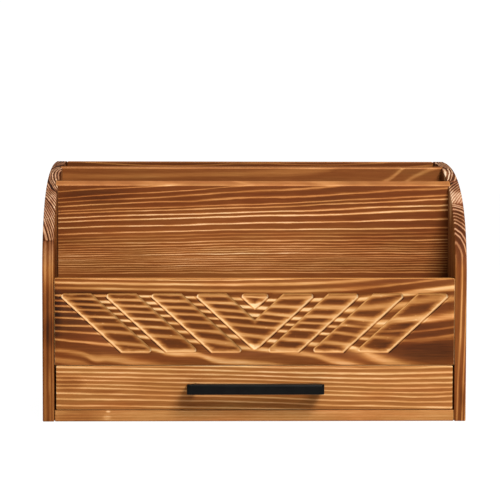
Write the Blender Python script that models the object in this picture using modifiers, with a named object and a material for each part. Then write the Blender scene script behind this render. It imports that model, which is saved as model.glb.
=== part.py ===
"""Envelope sorter with drawer.

A desk sorter of torched softwood boards: two side panels with a curved top edge,
a low carved front panel, two taller dividers and a back panel that make a front pocket
and two upright slots, and a shallow drawer under them with a black D-shaped pull.

Metres, +Z up. The front faces -Y and +X is to the viewer's right. The origin is on the
underside, in the middle of the case's footprint.
"""

import bpy
import bmesh
from math import acos, atan2, cos, pi, sin, tan
from mathutils import Matrix, Vector
from mathutils.geometry import interpolate_bezier

# Case, overall
WIDTH = 0.350
DEPTH = 0.165
HEIGHT = 0.212

# Board stock
SIDE_BOARD = 0.0097
BOARD = 0.0095
EASED_EDGE = 0.0008
EASED_STEPS = 2

# Clearances: glued and resting faces, the overrun that a cutter has past a face, and the
# distance within which two points of a mesh are one
JOINT_GAP = 0.0003
CUT_OVERRUN = 0.002
MERGE_DISTANCE = 0.000003

# Curved top edge of the side panels, from its foot on the front edge to the back corner
CURVE_FOOT = 0.118
CURVE_RISE_SHARE = 0.87
CURVE_REACH_SHARE = 0.46
CURVE_DROP_SHARE = 0.023
CURVE_STEPS = 28

# Dividers and pocket floor
FRONT_POCKET = 0.0415
DADO_DEPTH = 0.0025

# Drawer opening, and the carved front panel above it
OPENING_HEIGHT = 0.0371
FRONT_PANEL_TOP = 0.1185

# Carved chevrons on the front panel
CARVE_DEPTH = 0.0018
CARVE_LIP = 0.0003
CARVE_TOP_MARGIN = 0.0124
CARVE_BOTTOM_MARGIN = 0.0102
CARVE_SIDE_MARGIN = 0.0021
CARVE_TIP_RISE = 0.0012
CARVE_RIDGE = 0.0087
CARVE_TRIANGLE_HALF = 0.0148
CARVE_PER_SIDE = 3
CARVE_ROUND = 0.0025
CARVE_CRISP = 0.0008
CARVE_ROUND_STEPS = 5

# Drawer
DRAWER_SIDE_GAP = 0.0014
DRAWER_TOP_GAP = 0.0004
DRAWER_BOARD = 0.008
DRAWER_WALL_HEIGHT = 0.030
DRAWER_EASED_EDGE = 0.0005
DRAWER_STOP_GAP = 0.0005
PLY = 0.003
PLY_RAISE = 0.004
GROOVE_DEPTH = 0.0035

# Dowels
DOWEL_RADIUS = 0.0025
DOWEL_LENGTH = 0.018
DOWEL_IN_FACE = 0.006
DOWEL_CHAMFER = 0.0005
DOWEL_SIDES = 16
DOWEL_END_MARGIN = 0.028

# Pull and its screws
PULL_LENGTH = 0.112
PULL_BAR = 0.0085
PULL_BAR_HEIGHT = 0.0083
PULL_REACH = 0.027
PULL_LEG_DROP = 0.0029
PULL_CORNER = 0.003
PULL_INNER_CORNER = 0.0015
PULL_CORNER_STEPS = 6
PULL_EASED_EDGE = 0.0007
PULL_RISE = 0.0018
SCREW_RADIUS = 0.0015
SCREW_HEAD_RADIUS = 0.0028
SCREW_HEAD_HEIGHT = 0.0018
SCREW_BITE = 0.010
SCREW_SIDES = 20

# Places that follow from the sizes above
FRONT = -DEPTH / 2
BACK = DEPTH / 2
INNER_HALF = WIDTH / 2 - SIDE_BOARD
PANEL_HALF = INNER_HALF - JOINT_GAP
PANEL_BOTTOM = BOARD + OPENING_HEIGHT
FLOOR_TOP = PANEL_BOTTOM + BOARD
FRONT_DIVIDER_DEPTH = BOARD + FRONT_POCKET
BACK_PANEL_DEPTH = DEPTH - BOARD
SLOT = (BACK_PANEL_DEPTH - FRONT_DIVIDER_DEPTH - 2 * BOARD) / 2
MIDDLE_DIVIDER_DEPTH = FRONT_DIVIDER_DEPTH + BOARD + SLOT
HOLE_RADIUS = DOWEL_RADIUS + JOINT_GAP
DRAWER_HALF = INNER_HALF - DRAWER_SIDE_GAP
DRAWER_BOTTOM = BOARD + JOINT_GAP
DRAWER_FRONT_TOP = PANEL_BOTTOM - DRAWER_TOP_GAP
DRAWER_WALL_TOP = DRAWER_BOTTOM + DRAWER_WALL_HEIGHT
DRAWER_WALL_FRONT = FRONT + BOARD + JOINT_GAP
DRAWER_BACK_FACE = BACK - BOARD - DRAWER_STOP_GAP
PULL_HEIGHT = (DRAWER_BOTTOM + DRAWER_FRONT_TOP) / 2 + PULL_RISE
PULL_HOLE_X = PULL_LENGTH / 2 - PULL_BAR / 2
PULL_HOLE_HEIGHT = PULL_HEIGHT - PULL_LEG_DROP / 2

# Colours as Principled base colour, roughness and metallic value
TORCHED_BROWN = ((0.250, 0.095, 0.032, 1.0), 0.55, 0.0)
TORCHED_DARK = ((0.170, 0.062, 0.022, 1.0), 0.55, 0.0)
PLY_TAN = ((0.480, 0.290, 0.130, 1.0), 0.65, 0.0)
BEECH = ((0.560, 0.370, 0.200, 1.0), 0.65, 0.0)
BLACK_COAT = ((0.012, 0.012, 0.013, 1.0), 0.45, 0.0)
ZINC = ((0.620, 0.620, 0.600, 1.0), 0.35, 1.0)

for leftover in list(bpy.data.objects):
    bpy.data.objects.remove(leftover, do_unlink=True)

parts = bpy.data.collections.new("envelope_sorter")
cutters = bpy.data.collections.new("cutters")
for group in (parts, cutters):
    bpy.context.scene.collection.children.link(group)


def finish(piece, look):
    """Gives a piece a Principled material of its own."""
    colour, roughness, metallic = look
    material = bpy.data.materials.new(piece.name + "_finish")
    material.use_nodes = True
    shader = material.node_tree.nodes["Principled BSDF"]
    shader.inputs["Base Color"].default_value = colour
    shader.inputs["Roughness"].default_value = roughness
    shader.inputs["Metallic"].default_value = metallic
    material.diffuse_color = colour
    piece.data.materials.clear()
    piece.data.materials.append(material)


def place(name, mesh, location, rotation=(0, 0, 0), group=parts):
    """Puts a mesh in the scene as a named object."""
    piece = bpy.data.objects.new(name, mesh)
    piece.location = location
    piece.rotation_euler = rotation
    group.objects.link(piece)
    if group is cutters:
        piece.hide_render = True
        piece.display_type = "WIRE"
    return piece


def ease(piece, width, steps=EASED_STEPS):
    """Rounds over the sharp edges of a piece."""
    bevel = piece.modifiers.new("eased_edges", "BEVEL")
    bevel.width = width
    bevel.segments = steps
    bevel.limit_method = "ANGLE"
    bevel.angle_limit = pi / 6


def cut(piece, cutter):
    """Takes a cutter out of a piece."""
    boolean = piece.modifiers.new("cut_" + cutter.name, "BOOLEAN")
    boolean.operation = "DIFFERENCE"
    boolean.solver = "EXACT"
    boolean.object = cutter


def block_mesh(name, size):
    """A box mesh around its own middle."""
    shape = bmesh.new()
    bmesh.ops.create_cube(shape, size=1)
    bmesh.ops.scale(shape, vec=size, verts=shape.verts)
    mesh = bpy.data.meshes.new(name)
    shape.to_mesh(mesh)
    shape.free()
    return mesh


def board(name, low, high, look, edge=EASED_EDGE):
    """A straight board between two corners, its edges eased."""
    low, high = Vector(low), Vector(high)
    piece = place(name, block_mesh(name, high - low), (low + high) / 2)
    finish(piece, look)
    ease(piece, edge)
    return piece


def block_cutter(name, low, high):
    """A box cutter between two corners."""
    low, high = Vector(low), Vector(high)
    return place(name, block_mesh(name, high - low), (low + high) / 2, group=cutters)


def outline_mesh(name, outlines, half_thickness, rim=0, rim_steps=0):
    """Flat closed outlines in local XY, filled and extruded both ways along Z.

    With a rim, each cap is drawn in from the outline by a quarter round of that radius.
    """
    curve = bpy.data.curves.new(name, "CURVE")
    curve.dimensions = "2D"
    curve.fill_mode = "BOTH"
    curve.extrude = half_thickness - rim
    curve.bevel_depth = rim
    curve.bevel_resolution = rim_steps
    curve.offset = -rim
    for outline in outlines:
        spline = curve.splines.new("POLY")
        spline.points.add(len(outline) - 1)
        for point, (across, up) in zip(spline.points, outline):
            point.co = (across, up, 0, 1)
        spline.use_cyclic_u = True
    holder = bpy.data.objects.new(name, curve)
    cutters.objects.link(holder)
    evaluated = holder.evaluated_get(bpy.context.evaluated_depsgraph_get())
    mesh = bpy.data.meshes.new_from_object(evaluated)
    bpy.data.objects.remove(holder, do_unlink=True)
    shape = bmesh.new()
    shape.from_mesh(mesh)
    bmesh.ops.remove_doubles(shape, verts=shape.verts, dist=MERGE_DISTANCE)
    bmesh.ops.recalc_face_normals(shape, faces=shape.faces)
    shape.to_mesh(mesh)
    shape.free()
    return mesh


def rod_mesh(name, radius, length, sides):
    """A round rod along local Z, around its own middle."""
    shape = bmesh.new()
    bmesh.ops.create_cone(shape, cap_ends=True, segments=sides, radius1=radius, radius2=radius, depth=length)
    mesh = bpy.data.meshes.new(name)
    shape.to_mesh(mesh)
    shape.free()
    mesh.shade_smooth()
    mesh.set_sharp_from_angle(angle=pi / 6)
    return mesh


def rounded(corners, radii, steps):
    """The corners of an outline with each one rounded to its radius."""
    outline = []
    count = len(corners)
    for index, (corner, radius) in enumerate(zip(corners, radii)):
        corner = Vector(corner)
        to_last = (Vector(corners[index - 1]) - corner).normalized()
        to_next = (Vector(corners[(index + 1) % count]) - corner).normalized()
        half_angle = acos(max(-1, min(1, to_last.dot(to_next)))) / 2
        middle = corner + (to_last + to_next).normalized() * radius / sin(half_angle)
        first = corner + to_last * radius / tan(half_angle) - middle
        last = corner + to_next * radius / tan(half_angle) - middle
        sweep = atan2(first.cross(last), first.dot(last))
        for step in range(steps + 1):
            turn = Matrix.Rotation(sweep * step / steps, 2)
            outline.append(middle + turn @ first)
    return outline


# The curved edge, as depth from the front and height, from its foot to the back corner
curve_rise = HEIGHT - CURVE_FOOT
CURVED_EDGE = [
    Vector((point.x, point.y))
    for point in interpolate_bezier(
        Vector((0, CURVE_FOOT, 0)),
        Vector((0, CURVE_FOOT + curve_rise * CURVE_RISE_SHARE, 0)),
        Vector((DEPTH - DEPTH * CURVE_REACH_SHARE, HEIGHT - curve_rise * CURVE_DROP_SHARE, 0)),
        Vector((DEPTH, HEIGHT, 0)),
        CURVE_STEPS + 1,
    )
]


def edge_height(depth):
    """Height of the curved edge at a depth behind the front."""
    for near, far in zip(CURVED_EDGE, CURVED_EDGE[1:]):
        if depth <= far.x:
            return near.y + (far.y - near.y) * (depth - near.x) / (far.x - near.x)
    return HEIGHT


def curved_profile(near, far, bottom):
    """Outline of a board seen from the side, whose top follows the curved edge."""
    between = [point for point in CURVED_EDGE if near < point.x < far]
    corners = [(near, bottom), (far, bottom), (far, edge_height(far))]
    return corners + [tuple(point) for point in reversed(between)] + [(near, edge_height(near))]


def profile_board(name, outline, x_low, x_high, look):
    """A board that runs along X, with an outline in depth and height."""
    mesh = outline_mesh(name, [outline], (x_high - x_low) / 2)
    piece = place(name, mesh, ((x_low + x_high) / 2, FRONT, 0), (pi / 2, 0, pi / 2))
    finish(piece, look)
    ease(piece, EASED_EDGE)
    return piece


def dowel_joint(name, middle, axis, face_piece, end_piece, towards_face):
    """A dowel between a board's face and another board's end, with a hole in each.

    middle is the point of the axis on the face, and towards_face the way into the face.
    """
    axis = Vector(axis)
    rotation = axis.to_track_quat("Z", "Y").to_euler()
    offset = axis * towards_face
    centre = Vector(middle) + offset * (DOWEL_IN_FACE - DOWEL_LENGTH / 2)
    dowel = place(name, rod_mesh(name, DOWEL_RADIUS, DOWEL_LENGTH, DOWEL_SIDES), centre, rotation)
    finish(dowel, BEECH)
    ease(dowel, DOWEL_CHAMFER, 1)
    hole_mesh = rod_mesh(name + "_hole", HOLE_RADIUS, DOWEL_LENGTH + 2 * JOINT_GAP, DOWEL_SIDES)
    hole = place(name + "_hole", hole_mesh, centre, rotation, cutters)
    cut(face_piece, hole)
    cut(end_piece, hole)
    return dowel


# Side panels
side_panels = {}
for side_name, side in (("left", -1), ("right", 1)):
    inner, outer = side * INNER_HALF, side * WIDTH / 2
    side_panels[side] = profile_board(
        side_name + "_side_panel",
        curved_profile(0, DEPTH, 0),
        min(inner, outer),
        max(inner, outer),
        TORCHED_BROWN,
    )

# Bottom board, between the side panels and under the drawer
bottom_board = board(
    "bottom_board",
    (-PANEL_HALF, FRONT, 0),
    (PANEL_HALF, BACK, BOARD),
    TORCHED_BROWN,
)

# Back panel, between the side panels and on the bottom board
back_panel = profile_board(
    "back_panel",
    curved_profile(BACK_PANEL_DEPTH, DEPTH, BOARD + JOINT_GAP),
    -PANEL_HALF,
    PANEL_HALF,
    TORCHED_DARK,
)

# Pocket floor, housed in a dado in each side panel
housed_half = INNER_HALF + DADO_DEPTH - JOINT_GAP
board(
    "pocket_floor",
    (-housed_half, FRONT + BOARD + JOINT_GAP, PANEL_BOTTOM),
    (housed_half, BACK - BOARD - JOINT_GAP, FLOOR_TOP),
    TORCHED_DARK,
)

# Dividers, housed in dados that run out through the curved edge
for divider_name, depth in (("front_divider", FRONT_DIVIDER_DEPTH), ("middle_divider", MIDDLE_DIVIDER_DEPTH)):
    profile_board(
        divider_name,
        curved_profile(depth, depth + BOARD, FLOOR_TOP + JOINT_GAP),
        -housed_half,
        housed_half,
        TORCHED_BROWN,
    )

# Dados, cut in both side panels
for side_name, side in (("left", -1), ("right", 1)):
    dado_ends = (side * (INNER_HALF - CUT_OVERRUN), side * (INNER_HALF + DADO_DEPTH))
    dado_low, dado_high = min(dado_ends), max(dado_ends)
    floor_dado = block_cutter(
        side_name + "_floor_dado",
        (dado_low, FRONT + BOARD, PANEL_BOTTOM - JOINT_GAP),
        (dado_high, BACK - BOARD, FLOOR_TOP + JOINT_GAP),
    )
    cut(side_panels[side], floor_dado)
    for divider_name, depth in (("front", FRONT_DIVIDER_DEPTH), ("middle", MIDDLE_DIVIDER_DEPTH)):
        divider_dado = block_cutter(
            side_name + "_" + divider_name + "_divider_dado",
            (dado_low, FRONT + depth - JOINT_GAP, FLOOR_TOP - BOARD / 2),
            (dado_high, FRONT + depth + BOARD + JOINT_GAP, HEIGHT + CUT_OVERRUN),
        )
        cut(side_panels[side], divider_dado)

# Carved front panel: slanting fields on each side of a V, with a small triangle over it
front_panel = board(
    "carved_front_panel",
    (-PANEL_HALF, FRONT, PANEL_BOTTOM),
    (PANEL_HALF, FRONT + BOARD, FRONT_PANEL_TOP),
    TORCHED_BROWN,
)
carve_top = FRONT_PANEL_TOP - CARVE_TOP_MARGIN
carve_bottom = PANEL_BOTTOM + CARVE_BOTTOM_MARGIN
carve_height = carve_top - carve_bottom
carve_pitch = (INNER_HALF - CARVE_SIDE_MARGIN - CARVE_TRIANGLE_HALF) / (CARVE_PER_SIDE + 1)
field_width = carve_pitch - CARVE_RIDGE
vee_half = CARVE_TRIANGLE_HALF + carve_pitch
slant_share = vee_half / (carve_height - CARVE_TIP_RISE)
field_run = carve_height * slant_share

field_radii = (CARVE_ROUND, CARVE_CRISP, CARVE_ROUND, CARVE_CRISP)
carve_outlines = []
for number in range(CARVE_PER_SIDE):
    outer_x = vee_half + carve_pitch * (number + 1)
    for side in (-1, 1):
        corners = [
            (side * outer_x, carve_top),
            (side * (outer_x - field_width), carve_top),
            (side * (outer_x - field_width - field_run), carve_bottom),
            (side * (outer_x - field_run), carve_bottom),
        ]
        carve_outlines.append(rounded(corners, field_radii, CARVE_ROUND_STEPS))
notch_half = vee_half - field_width
vee = [
    (-vee_half, carve_top),
    (-notch_half, carve_top),
    (0, carve_top - notch_half / slant_share),
    (notch_half, carve_top),
    (vee_half, carve_top),
    (0, carve_top - vee_half / slant_share),
]
vee_radii = (CARVE_ROUND, CARVE_CRISP, CARVE_CRISP, CARVE_CRISP, CARVE_ROUND, CARVE_ROUND)
carve_outlines.append(rounded(vee, vee_radii, CARVE_ROUND_STEPS))
triangle = [
    (-CARVE_TRIANGLE_HALF, carve_top),
    (CARVE_TRIANGLE_HALF, carve_top),
    (0, carve_top - CARVE_TRIANGLE_HALF / slant_share),
]
carve_outlines.append(rounded(triangle, (CARVE_ROUND, CARVE_ROUND, CARVE_CRISP), CARVE_ROUND_STEPS))

# One cutter for all the fields, with a coved rim, so their walls curve down to the floor
carve_mesh = outline_mesh("carved_fields", carve_outlines, CARVE_DEPTH, CARVE_DEPTH - CARVE_LIP, 1)
cut(front_panel, place("carved_fields", carve_mesh, (0, FRONT, 0), (pi / 2, 0, 0), cutters))

# Dowels between the case boards and the side panels
for side_name, side in (("left", -1), ("right", 1)):
    for number, along in enumerate((FRONT + DOWEL_END_MARGIN, BACK - DOWEL_END_MARGIN), 1):
        dowel_joint(
            "bottom_dowel_%s_%d" % (side_name, number),
            (side * INNER_HALF, along, BOARD / 2),
            (1, 0, 0),
            side_panels[side],
            bottom_board,
            side,
        )
    panel_heights = (PANEL_BOTTOM + CARVE_BOTTOM_MARGIN / 2, FRONT_PANEL_TOP - CARVE_TOP_MARGIN / 2)
    for number, up in enumerate(panel_heights, 1):
        dowel_joint(
            "front_panel_dowel_%s_%d" % (side_name, number),
            (side * INNER_HALF, FRONT + BOARD / 2, up),
            (1, 0, 0),
            side_panels[side],
            front_panel,
            side,
        )
    for number, up in enumerate((BOARD + DOWEL_END_MARGIN, HEIGHT - DOWEL_END_MARGIN), 1):
        dowel_joint(
            "back_dowel_%s_%d" % (side_name, number),
            (side * INNER_HALF, BACK - BOARD / 2, up),
            (1, 0, 0),
            side_panels[side],
            back_panel,
            side,
        )

# Drawer front and box
drawer_front = board(
    "drawer_front",
    (-DRAWER_HALF, FRONT, DRAWER_BOTTOM),
    (DRAWER_HALF, FRONT + BOARD, DRAWER_FRONT_TOP),
    TORCHED_BROWN,
)
drawer_sides = {}
for side_name, side in (("left", -1), ("right", 1)):
    wall_ends = (side * DRAWER_HALF, side * (DRAWER_HALF - DRAWER_BOARD))
    drawer_sides[side] = board(
        "drawer_%s_side" % side_name,
        (min(wall_ends), DRAWER_WALL_FRONT, DRAWER_BOTTOM),
        (max(wall_ends), DRAWER_BACK_FACE, DRAWER_WALL_TOP),
        TORCHED_DARK,
        DRAWER_EASED_EDGE,
    )
drawer_inner_half = DRAWER_HALF - DRAWER_BOARD
drawer_back = board(
    "drawer_back",
    (-drawer_inner_half + JOINT_GAP, DRAWER_BACK_FACE - DRAWER_BOARD, DRAWER_BOTTOM),
    (drawer_inner_half - JOINT_GAP, DRAWER_BACK_FACE, DRAWER_WALL_TOP),
    TORCHED_DARK,
    DRAWER_EASED_EDGE,
)

# Drawer bottom, a thin plywood panel held in grooves all round
ply_low = DRAWER_BOTTOM + PLY_RAISE
groove_half = drawer_inner_half + GROOVE_DEPTH
groove_front = FRONT + BOARD - GROOVE_DEPTH
groove_back = DRAWER_BACK_FACE - DRAWER_BOARD + GROOVE_DEPTH
drawer_bottom = board(
    "drawer_bottom",
    (-groove_half + JOINT_GAP, groove_front + JOINT_GAP, ply_low),
    (groove_half - JOINT_GAP, groove_back - JOINT_GAP, ply_low + PLY),
    PLY_TAN,
    DRAWER_EASED_EDGE,
)
ply_groove = block_cutter(
    "ply_groove",
    (-groove_half, groove_front, ply_low - JOINT_GAP),
    (groove_half, groove_back, ply_low + PLY + JOINT_GAP),
)
for walled in (drawer_front, drawer_back, drawer_sides[-1], drawer_sides[1]):
    cut(walled, ply_groove)

# Dowels of the drawer box
drawer_dowels = []
dowel_up = (ply_low + PLY + DRAWER_WALL_TOP) / 2
for side_name, side in (("left", -1), ("right", 1)):
    drawer_dowels.append(
        dowel_joint(
            "drawer_front_dowel_" + side_name,
            (side * (DRAWER_HALF - DRAWER_BOARD / 2), FRONT + BOARD, dowel_up),
            (0, 1, 0),
            drawer_front,
            drawer_sides[side],
            -1,
        )
    )
    drawer_dowels.append(
        dowel_joint(
            "drawer_back_dowel_" + side_name,
            (side * drawer_inner_half, DRAWER_BACK_FACE - DRAWER_BOARD / 2, dowel_up),
            (1, 0, 0),
            drawer_sides[side],
            drawer_back,
            side,
        )
    )

# Pull: a bar turned back at both ends, into legs whose tops slope down to the drawer front
pull_half = PULL_LENGTH / 2
pull_corners = [
    (-pull_half, 0),
    (-pull_half, -PULL_REACH),
    (pull_half, -PULL_REACH),
    (pull_half, 0),
    (pull_half - PULL_BAR, 0),
    (pull_half - PULL_BAR, -PULL_REACH + PULL_BAR),
    (-pull_half + PULL_BAR, -PULL_REACH + PULL_BAR),
    (-pull_half + PULL_BAR, 0),
]
foot_radius = PULL_EASED_EDGE / 2
pull_radii = (foot_radius, PULL_CORNER, PULL_CORNER, foot_radius) + (
    foot_radius,
    PULL_INNER_CORNER,
    PULL_INNER_CORNER,
    foot_radius,
)
pull_outline = rounded(pull_corners, pull_radii, PULL_CORNER_STEPS)
pull = place(
    "drawer_pull",
    outline_mesh("drawer_pull", [pull_outline], PULL_BAR_HEIGHT / 2),
    (0, FRONT - JOINT_GAP, PULL_HEIGHT),
)
finish(pull, BLACK_COAT)
ease(pull, PULL_EASED_EDGE)
bar_top = PULL_HEIGHT + PULL_BAR_HEIGHT / 2
slope_start = PULL_BAR + PULL_EASED_EDGE - PULL_REACH
leg_slope = [
    (slope_start, bar_top),
    (0, bar_top - PULL_LEG_DROP),
    (0, bar_top + CUT_OVERRUN),
    (slope_start, bar_top + CUT_OVERRUN),
]
slope_mesh = outline_mesh("pull_leg_slope", [leg_slope], pull_half + CUT_OVERRUN)
cut(pull, place("pull_leg_slope", slope_mesh, (0, FRONT, 0), (pi / 2, 0, pi / 2), cutters))

# Screws of the pull, through the drawer front from inside the drawer
screw_shank = BOARD + SCREW_BITE
screw_profile = [
    (0, SCREW_HEAD_HEIGHT),
    (SCREW_HEAD_RADIUS / 2, SCREW_HEAD_HEIGHT),
    (SCREW_HEAD_RADIUS * cos(pi / 6), SCREW_HEAD_HEIGHT * sin(pi / 4)),
    (SCREW_HEAD_RADIUS, SCREW_HEAD_HEIGHT / 4),
    (SCREW_HEAD_RADIUS, 0),
    (SCREW_RADIUS, 0),
    (SCREW_RADIUS, -screw_shank),
    (0, -screw_shank),
]
screws = []
for side_name, side in (("left", -1), ("right", 1)):
    screw_name = "pull_screw_" + side_name
    profile_mesh = bpy.data.meshes.new(screw_name)
    profile_edges = [(index, index + 1) for index in range(len(screw_profile) - 1)]
    profile_mesh.from_pydata([(radius, 0, up) for radius, up in screw_profile], profile_edges, [])
    seat = (side * PULL_HOLE_X, FRONT + BOARD + JOINT_GAP, PULL_HOLE_HEIGHT)
    screw = place(screw_name, profile_mesh, seat, (-pi / 2, 0, 0))
    turning = screw.modifiers.new("turned", "SCREW")
    turning.steps = SCREW_SIDES
    turning.render_steps = SCREW_SIDES
    turning.use_merge_vertices = True
    turning.merge_threshold = MERGE_DISTANCE
    finish(screw, ZINC)
    screws.append(screw)
    hole_length = screw_shank + 2 * JOINT_GAP + CUT_OVERRUN
    hole_centre = Vector(seat) + Vector((0, CUT_OVERRUN + JOINT_GAP - hole_length / 2, 0))
    hole_mesh = rod_mesh(screw_name + "_hole", SCREW_RADIUS + JOINT_GAP, hole_length, SCREW_SIDES)
    screw_hole = place(screw_name + "_hole", hole_mesh, hole_centre, (-pi / 2, 0, 0), cutters)
    cut(drawer_front, screw_hole)
    cut(pull, screw_hole)

# The drawer and what it carries slide together along Y
drawer_slide = bpy.data.objects.new("drawer_slide", None)
drawer_slide.location = (0, FRONT, DRAWER_BOTTOM)
parts.objects.link(drawer_slide)
bpy.context.view_layer.update()
drawer_pieces = [drawer_front, drawer_back, drawer_bottom, pull]
drawer_pieces += list(drawer_sides.values()) + drawer_dowels + screws
for piece in drawer_pieces:
    piece.parent = drawer_slide
    piece.matrix_parent_inverse = drawer_slide.matrix_world.inverted()
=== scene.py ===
"""Envelope sorter with drawer, dressed for its picture.

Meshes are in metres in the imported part's frame: the front faces -Y, +X is to the viewer's
right, and the origin is in the middle of the underside. Named sizes, outlines and the
grain are in millimetres.
"""

import random
from math import acos, atan2, cos, pi, radians, sin, sqrt, tan

import bmesh
import bpy
from mathutils import Matrix, Vector
from mathutils.geometry import interpolate_bezier


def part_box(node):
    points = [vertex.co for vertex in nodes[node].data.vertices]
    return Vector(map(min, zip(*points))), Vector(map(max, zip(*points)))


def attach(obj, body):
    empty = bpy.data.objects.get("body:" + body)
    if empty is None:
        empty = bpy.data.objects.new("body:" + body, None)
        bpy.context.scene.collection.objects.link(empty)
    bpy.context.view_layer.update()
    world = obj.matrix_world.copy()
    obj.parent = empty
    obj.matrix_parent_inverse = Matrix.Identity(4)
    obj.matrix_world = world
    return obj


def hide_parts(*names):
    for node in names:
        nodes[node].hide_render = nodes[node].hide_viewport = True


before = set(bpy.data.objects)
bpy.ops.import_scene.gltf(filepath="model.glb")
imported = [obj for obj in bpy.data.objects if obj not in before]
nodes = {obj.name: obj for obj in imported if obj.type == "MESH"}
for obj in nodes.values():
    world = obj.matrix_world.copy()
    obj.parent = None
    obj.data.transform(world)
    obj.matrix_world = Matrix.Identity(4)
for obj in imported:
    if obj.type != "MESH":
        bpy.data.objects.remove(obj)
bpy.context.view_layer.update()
scene = bpy.context.scene
link = scene.collection.objects.link
new_object = bpy.data.objects.new
scene.view_settings.view_transform = "Standard"

MM = 0.001
FRONT_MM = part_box("left_side_panel")[0].y / MM
PANEL_LOW, PANEL_HIGH = (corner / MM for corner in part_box("carved_front_panel"))
CASE_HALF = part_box("right_side_panel")[1].x / MM
SIDE_BOARD = 9.7
BOARD_HALF = 165.3
DEPTH = 165
PANEL_TOP = 212
CURVE_FOOT = 118
DADO_DEPTH = 2.5
DADO_OVERLAP = 4.7
JOINT_GAP = 0.3

# Camera, fitted to the outlines of the case
CAMERA_MM = Vector((-43.61, -1675.09, 240.58))
CAMERA_YAW = radians(-1.416)
CAMERA_PITCH = radians(3.543)
CAMERA_ROLL = radians(0.128)
CAMERA_LENS = 139.72

flat = cos(CAMERA_PITCH)
forward = Vector((-sin(CAMERA_YAW) * flat, cos(CAMERA_YAW) * flat, -sin(CAMERA_PITCH)))
level = Vector((cos(CAMERA_YAW), sin(CAMERA_YAW), 0))
upright = level.cross(forward)
right = level * cos(CAMERA_ROLL) + upright * sin(CAMERA_ROLL)
above = upright * cos(CAMERA_ROLL) - level * sin(CAMERA_ROLL)
camera = new_object("camera", bpy.data.cameras.new("camera"))
camera.data.lens = CAMERA_LENS
turned = Matrix((right, above, -forward)).transposed().to_4x4()
camera.matrix_world = Matrix.Translation(CAMERA_MM * MM) @ turned
link(camera)
scene.camera = camera


def linear(code):
    """An sRGB hex colour as linear values."""
    shares = [int(code[start : start + 2], 16) / 255 for start in (1, 3, 5)]
    bent = [share / 12.92 if share <= 0.04045 else ((share + 0.055) / 1.055) ** 2.4 for share in shares]
    return (*bent, 1)


def fill(node, inputs):
    """Sets a node's inputs, in their order or by name, to values, links or a list of links."""
    for socket, value in inputs.items() if isinstance(inputs, dict) else enumerate(inputs):
        for one in value if isinstance(value, list) else [value]:
            if isinstance(one, bpy.types.NodeSocket):
                node.id_data.links.new(one, node.inputs[socket])
            else:
                node.inputs[socket].default_value = one


def add(tree, kind, inputs=(), output=0, **settings):
    """Adds a node with its settings and links, and gives one of its outputs.

    An operation follows the kind, or stands alone for a Math node.
    """
    kind, *operation = ("Math " + kind if kind.isupper() else kind).split()
    family = "GeometryNode" if hasattr(bpy.types, "GeometryNode" + kind) else "ShaderNode"
    made = tree.nodes.new(family + kind)
    if operation:
        made.operation = operation[0]
    for setting, value in settings.items():
        setattr(made, setting, value)
    fill(made, inputs)
    return made.outputs[output]


def draw_curve(output, points, handle):
    """Draws a Float Curve node's curve through points, given from left to right."""
    mapping = output.node.mapping
    mapping.use_clip = False
    curve = mapping.curves[0]
    curve.points[0].location, curve.points[-1].location = points[0], points[-1]
    for point in points[1:-1]:
        curve.points.new(*point)
    for point in curve.points:
        point.handle_type = handle
    mapping.update()
    return output


def draw_ramp(output, stops):
    """Sets a Color Ramp node's stops, given as place and hex colour."""
    elements = output.node.color_ramp.elements
    while len(elements) < len(stops):
        elements.new(1)
    for element, (position, code) in zip(elements, stops):
        element.position, element.color = position, linear(code)
    return output


def new_material(name):
    """An empty Principled material: its tree and its shader."""
    material = bpy.data.materials.new(name)
    material.use_nodes = True
    return material, material.node_tree, material.node_tree.nodes["Principled BSDF"]


def millimetres(tree):
    """The place on the piece, in millimetres."""
    here = add(tree, "TexCoord", output="Object")
    return add(tree, "VectorMath SCALE", {0: here, "Scale": 1 / MM})


def laid_over(tree, tone, *layers):
    """A tone with patterns laid over it, each given with how far it moves the tone."""
    for pattern, change in layers:
        tone = add(tree, "MULTIPLY_ADD", (pattern, change, tone))
    return tone


def streaks(tree, place, size, seed, detail=2):
    """Noise of about -0.5 to 0.5, with blotches of the given size in mm along each axis."""
    share = add(tree, "VectorMath MULTIPLY", (place, tuple(1 / length for length in size)))
    moved = add(tree, "VectorMath ADD", (share, (seed * 17.3, seed * 5.9, seed * 11.1)))
    noise = add(tree, "TexNoise", {"Vector": moved, "Scale": 1, "Detail": detail, "Roughness": 0.55})
    return add(tree, "SUBTRACT", (noise, 0.5))


def add_tone_patches_and_painted_light(tree, place, face, tone, tone_patches_and_painted_light):
    """A tone with darker and paler patches that fade out. A few of them are painted shade and painted light.

    Each is its middle, as X, depth behind the face and height, its reach in mm on each axis,
    and how far it moves the tone.
    """
    for (x, behind, z), reach, change in tone_patches_and_painted_light:
        away = add(tree, "VectorMath SUBTRACT", (place, (x, face + behind, z)))
        shares = add(tree, "VectorMath MULTIPLY", (away, tuple(1 / length for length in reach)))
        distance = add(tree, "VectorMath LENGTH", (shares,), "Value")
        patch = add(tree, "MapRange", (distance, 1, 0.25), interpolation_type="SMOOTHSTEP")
        tone = laid_over(tree, tone, (patch, change))
    return tone


# Torched softwood, brushed and lacquered satin: the broad soft part of each ring is charred
# to a dark red-brown and lies a little low, and the hard thin part is left as a pale golden
# line. From near black through red-brown and orange to straw.
TORCHED_STOPS = (
    (0.0, "#1c0a03"), (0.15, "#3e1d06"), (0.32, "#5a2d0c"), (0.48, "#71411a"),
    (0.64, "#8b5a2b"), (0.8, "#a67543"), (0.92, "#ba9060"), (1.0, "#c6a67c"),
)
RAW_WOOD = "#b07a3c"
RED_TINT = "#ffdfd2"
LINE_REACH = 0.62
SAW_PITCH = 1.9
# Where along the carved panel the left end's rings turn to the right end's
PANEL_SWAP = (70, 122)
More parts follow.
